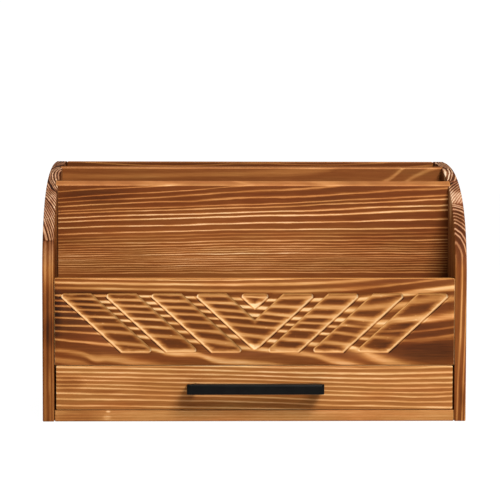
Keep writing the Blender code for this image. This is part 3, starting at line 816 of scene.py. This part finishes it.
field_run = (CARVE_TOP - CARVE_BOTTOM) * CARVE_SLANT
first_outer = VEE_HALF + CARVE_PITCH
notch_half = VEE_HALF - CARVE_FIELD
slanting_field = (
    (first_outer, CARVE_TOP), (first_outer - CARVE_FIELD, CARVE_TOP),
    (first_outer - CARVE_FIELD - field_run, CARVE_BOTTOM), (first_outer - field_run, CARVE_BOTTOM),
)
vee = (
    (-VEE_HALF, CARVE_TOP), (-notch_half, CARVE_TOP), (0, CARVE_TOP - notch_half / CARVE_SLANT),
    (notch_half, CARVE_TOP), (VEE_HALF, CARVE_TOP), (0, CARVE_TOP - VEE_HALF / CARVE_SLANT),
)
triangle = (
    (-TRIANGLE_HALF, CARVE_TOP), (TRIANGLE_HALF, CARVE_TOP),
    (0, CARVE_TOP - TRIANGLE_HALF / CARVE_SLANT),
)
vee_radii = (BLUNT, CRISP, CRISP, CRISP, BLUNT, BLUNT)
panel_wood = torched_board(
    "torched_carved_panel", 2, PANEL_GUIDES, PANEL_RINGS, PANEL_FAR_RINGS, tilt=1.1,
    tone_patches_and_painted_light=(
        ((-125, 0, 106), (34, 20, 3.2), -0.14),
        ((-160, 0, 90), (46, 20, 34), -0.13),
        ((-167, 0, 88), (11, 20, 36), -0.16),
        ((152, 0, 78), (44, 20, 28), -0.06),
        ((140, 0, 57), (56, 20, 17), -0.12),
        ((-55, 0, 116), (220, 20, 11), 0.16),
        ((-20, 0, 50), (260, 20, 13), 0.045),
    ),
    top=0.6, carved=True,
)
carved_mesh = grown(
    eased_block("carved_panel_blank", PANEL_LOW * MM, PANEL_HIGH * MM, 0.8 * MM, 3),
    tree,
    {
        "Field": field_cutter("field_cutter", (slanting_field, (BLUNT, CRISP, BLUNT, CRISP))),
        "Centre": field_cutter("centre_cutter", (vee, vee_radii), (triangle, (BLUNT, BLUNT, CRISP))),
        "Pitch": CARVE_PITCH * MM,
        "Fields Per Side": CARVE_PER_SIDE,
        "Finish": panel_wood,
    },
)
dressed("carved_chevron_panel", carved_mesh, "case", panel_wood, ["carved_front_panel"])

# Side panels: the curved outline as depth and height, from the bottom at the front round by
# the back to the curve's foot
CURVE_POINTS = 73
curve_rise = PANEL_TOP - CURVE_FOOT
curved_edge = interpolate_bezier(
    Vector((0, CURVE_FOOT, 0)),
    Vector((0, CURVE_FOOT + curve_rise * 0.87, 0)),
    Vector((DEPTH * 0.54, PANEL_TOP - curve_rise * 0.023, 0)),
    Vector((DEPTH, PANEL_TOP, 0)),
    CURVE_POINTS,
)
side_outline = [(0, 0), (DEPTH, 0)] + [(point.x, point.y) for point in reversed(curved_edge)]


def side_panel(name, outer, inwards, finish, node):
    """A curved side panel from its outer face inwards, with dados in its inner face."""
    inner = outer + SIDE_BOARD * inwards
    rings = []
    for x, inset in (
        (outer, 0.8), (outer + 0.25 * inwards, 0.25), (outer + 0.8 * inwards, 0),
        (inner - 0.8 * inwards, 0), (inner - 0.25 * inwards, 0.25), (inner, 0.8),
    ):
        moved, _ = drawn_in(side_outline, [0] * len(side_outline), inset)
        rings.append([Vector((x, FRONT_MM + depth, height)) * MM for depth, height in moved])
    board = new_object(name + "_board", skinned(name, rings))
    link(board)
    floor_low, floor_high = (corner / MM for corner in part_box("pocket_floor"))
    grooves = [(floor_low.y, floor_high.y, floor_low.z - JOINT_GAP, floor_high.z + JOINT_GAP)]
    for divider in ("front_divider", "middle_divider"):
        low, high = (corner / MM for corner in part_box(divider))
        grooves.append((low.y, high.y, floor_high.z - DADO_OVERLAP, PANEL_TOP + 2))
    cutters = []
    for near, far, bottom, top in grooves:
        across = sorted((inner + 2 * inwards, inner - DADO_DEPTH * inwards))
        low = Vector((across[0], near - JOINT_GAP, bottom)) * MM
        high = Vector((across[1], far + JOINT_GAP, top)) * MM
        cutter = eased_block("dado", low, high, 0.01 * MM, 1)
        link(cutter)
        cutters.append(cutter)
        boolean = board.modifiers.new(cutter.name, "BOOLEAN")
        boolean.operation = "DIFFERENCE"
        boolean.solver = "EXACT"
        boolean.object = cutter
    cut_mesh = worked_out(board)
    for spare in (*cutters, board):
        bpy.data.objects.remove(spare, do_unlink=True)
    dressed(name, cut_mesh, "case", finish, [node])


LEFT_STRIPS = (
    (0, 0, (-190, 3), ((14.5, 2, 0.3), (17.5, 2.6, 0.42), (21.5, 2.2, 0.4), (23.7, 1.2, 0.45))),
    (5.3, 0.12, (-420, -146), (
        (291.2, 2.2, 0.9), (293.6, 1.5, 0.85), (295.2, 1.2, 0.8), (296.7, 1.2, 0.8), (298.3, 1.2, 0.8),
        (299.8, 0.9, 0.7), (301.2, 0.9, 0.7), (302.6, 0.9, 0.74), (305, 1.5, 0.85), (306.9, 1.4, 0.9),
        (308.9, 1.4, 0.95), (310.5, 1.2, 0.9), (311.9, 1.2, 0.85), (313.4, 1.1, 0.75),
    )),
    (43, 2.5, (-95, 78), (
        (67, 1.5, 0.8), (69.6, 1.5, 0.8), (72, 1.6, 0.85), (74.5, 1.8, 1.0), (77, 1.8, 1.0),
        (78.8, 1.1, 0.85), (80, 0.9, 0.8), (83.2, 1.3, 0.85), (85.2, 1.4, 0.85), (87.4, 1.4, 0.85),
    )),
    (108, 0.12, (-262, 150), (
        (85.5, 1.4, 0.8), (88, 1.2, 0.8), (90.3, 1.5, 0.85), (93, 1.2, 0.8), (95.6, 1.4, 0.85),
        (98, 1.3, 0.8),
    )),
)
RIGHT_STRIPS = (
    (0, 0, (159.6, -12.3), (
        (12, 1.0, 0.3), (15.4, 0.8, 0.4), (18.4, 1.0, 0.62), (21.2, 0.9, 0.72), (23.1, 0.9, 0.7),
        (26.1, 0.9, 0.7), (27.9, 0.8, 0.66), (30, 0.7, 0.62), (32.2, 0.9, 0.66), (35.1, 1.3, 0.72),
        (37.7, 1.2, 0.72), (39.2, 0.8, 0.66),
    )),
    (27.2, 0.12, (417, -134), (
        (293, 1.0, 0.4), (295.1, 1.0, 0.4), (297.2, 1.0, 0.4), (299.2, 1.1, 0.45), (301.2, 1.0, 0.5),
        (303.2, 1.0, 0.6), (305.4, 1.2, 0.7), (307.8, 1.2, 0.75), (310.5, 1.3, 0.75), (314, 1.3, 0.7),
        (318, 1.3, 0.7),
    )),
    (60, 4, (60, 95), (
        (100, 1.6, 0.7), (104, 2.2, 0.8), (107.5, 2.4, 0.75), (111, 1.2, 0.95), (113.4, 0.9, 0.9),
        (117, 1.6, 0.8), (121, 1.4, 0.7),
    )),
    (101, 0.12, (252, 142), (
        (76, 1.4, 0.8), (78.6, 1.2, 0.8), (81.2, 1.5, 0.85), (83.5, 1.2, 0.8), (86, 1.4, 0.85),
        (89, 1.3, 0.8),
    )),
)
left_wood = side_panel_wood(
    "torched_left_side", LEFT_STRIPS, (5.3, 108), ((12, 27, -1.5, 0.16),), base=0.22, seed=5,
    tone_patches_and_painted_light=(
        ((-168, 0, 74), (14, 30, 18), -0.15),
        ((-169.5, 0, 34), (2, 20, 17), 0.12),
        ((-170, 2, 132), (14, 9, 30), 0.22),
        # Painted shade: the inner face of the panel made darker, as the shade it lies in inside the pocket.
        ((-165, 40, 130), (2.2, 70, 80), -0.24),
        ((-170, 21, 155), (14, 14, 30), 0.14),
        ((-170, 0, 14), (30, 30, 30), 0.05),
        ((-169, 50, 205), (8, 7, 12), -0.14),
    ),
)
right_wood = side_panel_wood(
    "torched_right_side", RIGHT_STRIPS, (27.2, 101), ((29, 42, 1.3, 0.16), (29, 42, -1.6, 0.1)),
    base=0.32, seed=6, drift=0.028,
    tone_patches_and_painted_light=(
        ((170, 34, 180), (14, 13, 30), 0.42),
        ((170, 53, 200), (14, 8, 12), -0.08),
        ((172, 0, 20), (3, 30, 13), -0.12),
        ((170.5, 0, 95), (1.8, 20, 60), 0.12),
        ((167, 78, 209), (9, 24, 14), 0.36),
    ),
)
side_panel("curved_left_side", -CASE_HALF, 1, left_wood, "left_side_panel")
side_panel("curved_right_side", CASE_HALF, -1, right_wood, "right_side_panel")

# Boards that keep their solids
give(torched_board(
    "torched_front_divider", 3, DIVIDER_GUIDES, DIVIDER_RINGS,
    face=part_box("front_divider")[0].y / MM, wobble=1.9,
    tone_patches_and_painted_light=(
        ((-132, 0, 185), (42, 20, 10), -0.1),
        ((-120, 0, 126), (64, 60, 22), -0.07),
        # Painted light: a broad paler lift over the low part of the divider, where it lies in the shade of
        # the pocket.
        ((-80, 0, 120), (380, 60, 46), 0.165),
        ((105, 0, 130), (110, 60, 28), -0.06),
        ((-20, 0, 160), (180, 60, 28), 0.09),
    ),
    top=0.56, ruddy=0.18, wear=0.35,
), "front_divider")
give(torched_board(
    "torched_middle_divider", 12, MIDDLE_GUIDES, growth_rings(12, 46, 158, 7.5) + MIDDLE_TOP_RINGS,
    face=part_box("middle_divider")[0].y / MM, base=0.46, strength=0.5, top=0.56, ruddy=0.24, wear=0.35,
), "middle_divider")
give(torched_board(
    "torched_back_panel", 13, gentle_guides(0, 220, 13), growth_rings(13, 2, 218, 5.6),
    face=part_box("back_panel")[0].y / MM, strength=0.8, top=0.64, wear=0.2,
), "back_panel")
give(torched_board(
    "torched_pocket_floor", 14, gentle_guides(-90, 90, 14), growth_rings(14, -88, 88, 4.8), axes="XYZ",
    face=56, tilt=0.8,
), "pocket_floor")
give(torched_board(
    "torched_bottom_board", 15, gentle_guides(-20, 13, 15), growth_rings(15, -19, 12, 1.25), tilt=0.1,
    wobble=0.4, base=0.66, strength=0.4, top=0.3,
    tone_patches_and_painted_light=(
        ((-146, 0, 5), (30, 20, 12), -0.14),
        ((-121, 0, 8.3), (2.6, 4, 1.6), 0.3),
        ((-122, 0, 3.5), (5, 4, 3), 0.14),
    ),
), "bottom_board")
give(torched_board(
    "torched_drawer_front", 4, DRAWER_GUIDES, DRAWER_RINGS, wobble=1.3, base=0.54, strength=0.59,
    tone_patches_and_painted_light=(((-153, 0, 31), (16, 20, 9), -0.1), ((-128, 0, 24), (22, 20, 4), -0.08)),
    top=0.9, wear=0.15,
), "drawer_front")
give(torched_board(
    "torched_drawer_walls", 16, gentle_guides(0, 48, 16), growth_rings(16, 1, 46, 3.6), axes="YZX",
    face=-156, tilt=0.6, base=0.38, strength=0.8,
), "drawer_left_side", "drawer_right_side")
give(torched_board(
    "torched_drawer_back", 17, gentle_guides(0, 48, 17), growth_rings(17, 1, 46, 3.8), face=64, tilt=0.6,
    base=0.38, strength=0.8,
), "drawer_back")
# Birch plywood: pale, even veneer with short fine pores
give(plain_wood("birch_plywood", "#d9bd92", "#c2a173", (9, 0.5, 0.5), 21), "drawer_bottom")
# Turned beech: pinkish tan, with the short dark flecks of its rays
beech = plain_wood("turned_beech", "#cfa77c", "#b08657", (2.5, 0.4, 0.4), 22)
give(beech, *(name for name in nodes if "dowel" in name))

# Black powder coat: a matte film with a faint orange peel that scatters its highlights
black_coat, tree, shader = new_material("black_powder_coat")
place = millimetres(tree)
peel = streaks(tree, place, (0.7, 0.7, 0.7), 41)
dust = streaks(tree, place, (6, 6, 6), 42)
film = add(tree, "ValToRGB", (add(tree, "ADD", (dust, 0.5)),))
fill(shader, {
    "Base Color": draw_ramp(film, ((0.3, "#070606"), (0.7, "#0a0a09"))),
    "Roughness": add(tree, "MapRange", (dust, -0.3, 0.3, 0.32, 0.38)),
    "Normal": add(tree, "Bump", {"Height": peel, "Strength": 0.35, "Distance": 0.05 * MM}),
    "IOR": 1.5,
    "Specular IOR Level": 0.06,
})

# Pull: rounded sections along the middle of the bar and down its legs. Each section lies
# between the outer and the inner outline, its outer edges rounder along the bar.
pull_low, pull_high = (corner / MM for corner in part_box("drawer_pull"))
PULL_THICK = 8.5
PULL_LEG_DROP = 2.9
PULL_OUTER_TURN, PULL_INNER_TURN = 3, 1.5
BAR_ROUND = 1.6
EDGE_ROUND = 0.7
PULL_TURN_STEPS = 8
pull_half = pull_high.x
pull_reach = pull_high.y - pull_low.y
outer_line = [Vector((-pull_half, 0)), Vector((-pull_half, PULL_OUTER_TURN + 0.5 - pull_reach))]
inner_line = [Vector((PULL_THICK - pull_half, y)) for y in (0, PULL_THICK + 2 - pull_reach)]
rounding = [EDGE_ROUND, EDGE_ROUND]
for step in range(PULL_TURN_STEPS + 1):
    share = step / PULL_TURN_STEPS
    turn = pi / 2 * share
    swing = Vector((-cos(turn), -sin(turn)))
    for line, radius, inset in ((outer_line, PULL_OUTER_TURN, 0), (inner_line, PULL_INNER_TURN, PULL_THICK)):
        centre = Vector((inset + radius - pull_half, inset + radius - pull_reach))
        line.append(centre + swing * radius)
    rounding.append(EDGE_ROUND + (BAR_ROUND - EDGE_ROUND) * share * share * (3 - 2 * share))
for line in (outer_line, inner_line):
    line += [Vector((-point.x, point.y)) for point in reversed(line)]
rounding += list(reversed(rounding))
rings = []
for outer_point, inner_point, outer_round in zip(outer_line, inner_line, rounding):
    across = inner_point - outer_point
    breadth = across.length
    back = (outer_point.y + inner_point.y) / 2
    slope = max(0, min(1, (back + pull_reach - PULL_THICK) / (pull_reach - PULL_THICK)))
    section = []
    for quarter, radius in enumerate((EDGE_ROUND, outer_round, outer_round, EDGE_ROUND)):
        middle_a = breadth - radius if quarter in (0, 3) else radius
        middle_z = pull_high.z - radius if quarter < 2 else pull_low.z + radius
        for step in range(6):
            turn = pi / 2 * (quarter + step / 5)
            spot = outer_point + across * ((middle_a + radius * cos(turn)) / breadth)
            z = middle_z + radius * sin(turn)
            if z > (pull_low.z + pull_high.z) / 2:
                z -= PULL_LEG_DROP * slope
            section.append(Vector((spot.x, pull_high.y + spot.y, z)) * MM)
    rings.append(section)
dressed("black_d_pull", skinned("pull", rings), "drawer", black_coat, ["drawer_pull"])

# Zinc-plated steel: bright, with the fine rings that turning left, faintly bluish
zinc, tree, shader = new_material("zinc_plated_steel")
place = millimetres(tree)
blotch = streaks(tree, place, (1.6, 1.6, 1.6), 51)
fine = streaks(tree, place, (0.2, 2, 0.2), 52)
plating = add(tree, "ValToRGB", (add(tree, "ADD", (blotch, 0.5)),))
fill(shader, {
    "Base Color": draw_ramp(plating, ((0.3, "#b9babb"), (0.7, "#d2d1cb"))),
    "Roughness": add(tree, "MapRange", (fine, -0.4, 0.4, 0.24, 0.42)),
    "Metallic": 1,
})

# Pull screws, seen inside the drawer: one turned blank with a cross recess, set at each hole
tree, asked = new_tree(
    "pull_screws", {"Blank": "Object", "Recess": "Object", "Spacing": "Float", "Finish": "Material"}
)
screw = add(tree, "ObjectInfo", (asked["Blank"],), "Geometry")
recess = add(tree, "ObjectInfo", (asked["Recess"],), "Geometry")
turned = add(tree, "Transform", {"Geometry": recess, "Rotation": (0, pi / 2, 0)})
for slot in (recess, turned):
    screw = add(tree, "MeshBoolean DIFFERENCE", (screw, slot), "Mesh", solver="EXACT")
step_aside = add(tree, "CombineXYZ", (asked["Spacing"],))
pair = add(tree, "MeshLine", {"Count": 2, "Offset": step_aside}, "Mesh")
screws = add(tree, "InstanceOnPoints", {"Points": pair, "Instance": screw})
end_tree(tree, screws, asked["Finish"])

# The screw's profile along its axis, as place and radius, from its tip to its domed head
low, high = (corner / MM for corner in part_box("pull_screw_left"))
HEAD_HEIGHT, HEAD_RADIUS, SHANK_RADIUS = 1.8, 2.8, 1.5
HEAD_BRIM = 0.6
seat = high.y - HEAD_HEIGHT
profile = [(low.y, 0.9), (low.y + 0.6, SHANK_RADIUS), (seat, SHANK_RADIUS)]
profile += [(seat, HEAD_RADIUS - 0.1), (seat + 0.1, HEAD_RADIUS), (seat + HEAD_BRIM, HEAD_RADIUS)]
for step in range(1, 6):
    turn = pi / 2 * step / 6
    dome = (HEAD_HEIGHT - HEAD_BRIM) * sin(turn)
    profile.append((seat + HEAD_BRIM + dome, HEAD_RADIUS * cos(turn) ** 0.7))
profile.append((high.y, 0.5))
rings = []
for y, radius in profile:
    turns = [2 * pi * side / 32 for side in range(32)]
    rings.append([Vector((radius * cos(turn), y, radius * sin(turn))) * MM for turn in turns])
recess_low, recess_high = Vector((-1.5, high.y - 1.1, -0.28)) * MM, Vector((1.5, high.y + 1, 0.28)) * MM
screw_mesh = grown(
    new_object("screw_base", bpy.data.meshes.new("screw_base")),
    tree,
    {
        "Blank": new_object("screw_blank", skinned("screw_blank", rings)),
        "Recess": eased_block("recess", recess_low, recess_high, 0.05 * MM, 1),
        "Spacing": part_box("pull_screw_right")[0].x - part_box("pull_screw_left")[0].x,
        "Finish": zinc,
    },
)
screw_mesh.transform(Matrix.Translation(Vector(((low.x + high.x) / 2, 0, (low.z + high.z) / 2)) * MM))
dressed("pull_screws", screw_mesh, "drawer", zinc, ["pull_screw_left", "pull_screw_right"])

# Light: a soft key from the upper right and a pale room, brightest overhead
WHITE = (1, 1, 1, 1)
world = bpy.data.worlds.new("pale_room")
scene.world = world
world.use_nodes = True
room = world.node_tree
towards = add(room, "TexCoord", output="Generated")
height = add(room, "SeparateXYZ", (towards,), 2)
height = add(room, "MAXIMUM", (height, 0))
height = add(room, "POWER", (height, 5))
ambient = room.nodes["Background"]
fill(ambient, (WHITE, add(room, "MULTIPLY_ADD", (height, 3.8, 0.05))))
seen = add(room, "Background", (WHITE, 1.05))
path = add(room, "LightPath", output="Is Camera Ray")
fill(room.nodes["World Output"], (add(room, "MixShader", (path, ambient.outputs[0], seen)),))

towards_key = Vector((0.29, -0.81, 0.505)).normalized()
lamp = bpy.data.lights.new("key", "AREA")
lamp.shape = "SQUARE"
lamp.size = 0.6
lamp.energy = 44.5
holder = new_object("key", lamp)
holder.location = Vector((0, 0, 0.1)) + towards_key * 1.8
holder.rotation_euler = towards_key.to_track_quat("Z", "Y").to_euler()
link(holder)

# White paper sweep: matte. Seen straight on it burns out to white, and its shadows nearly vanish
paper, tree, shader = new_material("white_paper_sweep")
fill(shader, {"Base Color": linear("#cfcfce"), "Roughness": 0.9, "Specular IOR Level": 0.1})
burnt_out = add(tree, "Emission", {"Strength": 1.05})
straight_on = add(tree, "LightPath", output="Is Camera Ray")
share = add(tree, "MULTIPLY", (straight_on, 0.92))
sweep = add(tree, "MixShader", (share, shader.outputs[0], burnt_out))
fill(tree.nodes["Material Output"], {"Surface": sweep})
FLOOR_HALF = 6
floor_mesh = bpy.data.meshes.new("floor")
floor_corners = [(x * FLOOR_HALF, y * FLOOR_HALF, 0) for x, y in ((-1, -1), (1, -1), (1, 1), (-1, 1))]
floor_mesh.from_pydata(floor_corners, [], [(0, 1, 2, 3)])
floor_mesh.materials.append(paper)
floor = new_object("floor", floor_mesh)
link(floor)
